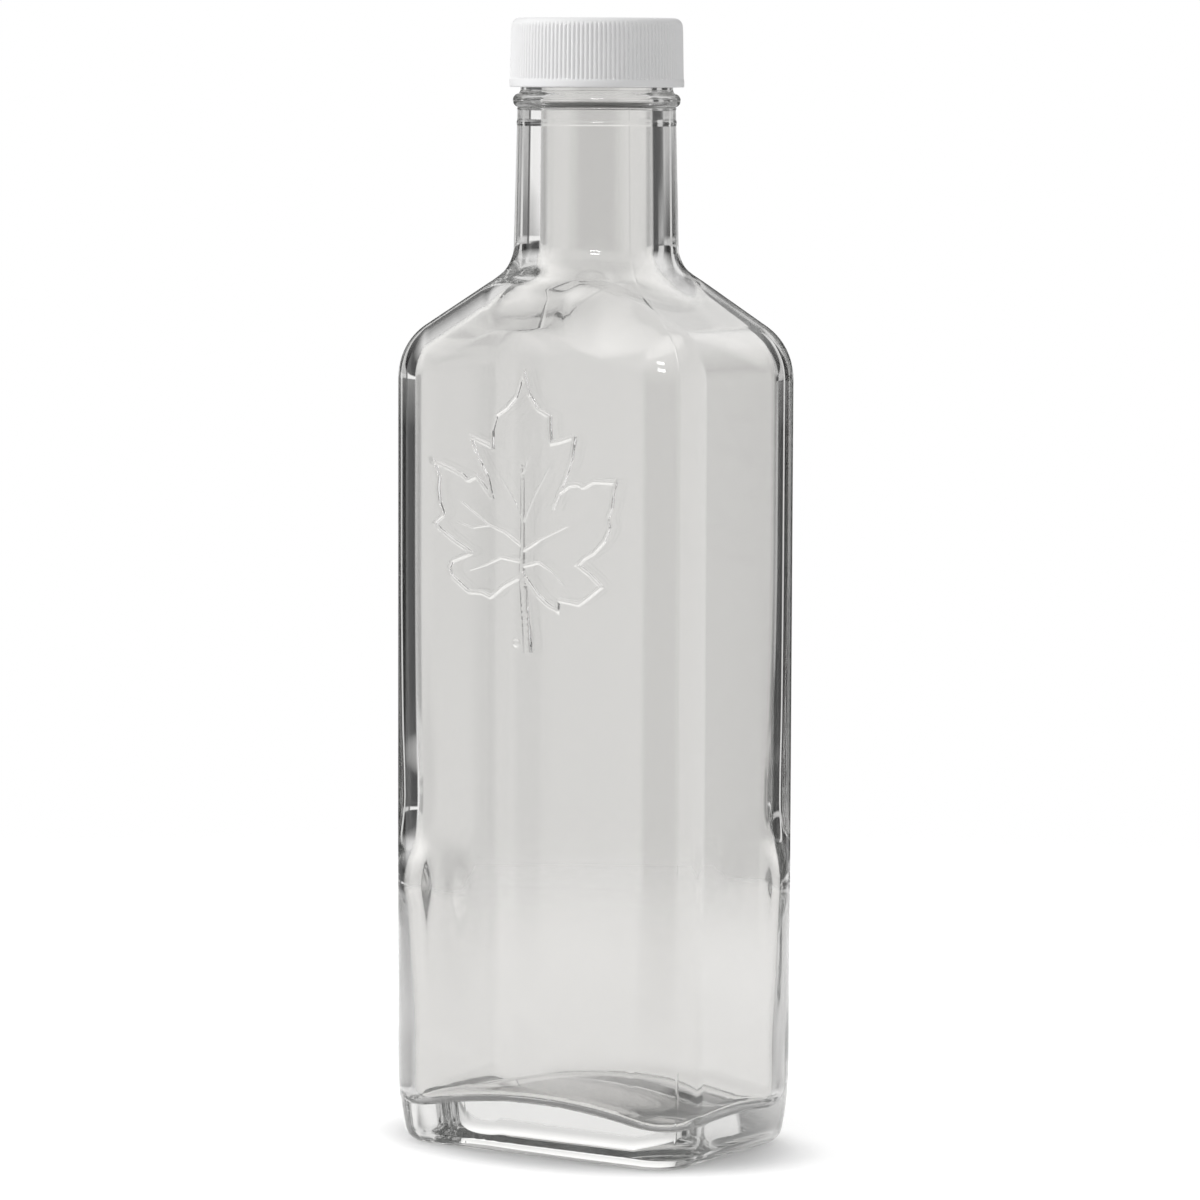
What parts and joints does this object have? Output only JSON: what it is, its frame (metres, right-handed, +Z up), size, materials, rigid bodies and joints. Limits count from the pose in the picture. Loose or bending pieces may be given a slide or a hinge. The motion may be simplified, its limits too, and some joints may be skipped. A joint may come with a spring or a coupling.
{
  "type": "syrup bottle",
  "caption": "Empty clear glass syrup bottle: oblong body with rounded edges and a raised maple leaf, gabled shoulders, round neck, ribbed white screw cap.",
  "frame": {"origin": "middle of the foot, on the surface that the bottle stands on", "axes": "+Z up through the neck and cap, -Y out of the broad face with the leaf, +X out of a narrow face"},
  "size_m": [0.061, 0.0443, 0.1948],
  "materials": {
    "clear_glass": "clear polished flint glass, faintly grey-green in its thick edges",
    "white_cap": "satin moulded plastic, finely ribbed round the side, smooth on top"
  },
  "bodies": {
    "root": {"glass_bottle": "clear_glass", "screw_cap": "white_cap"}
  },
  "joints": []
}
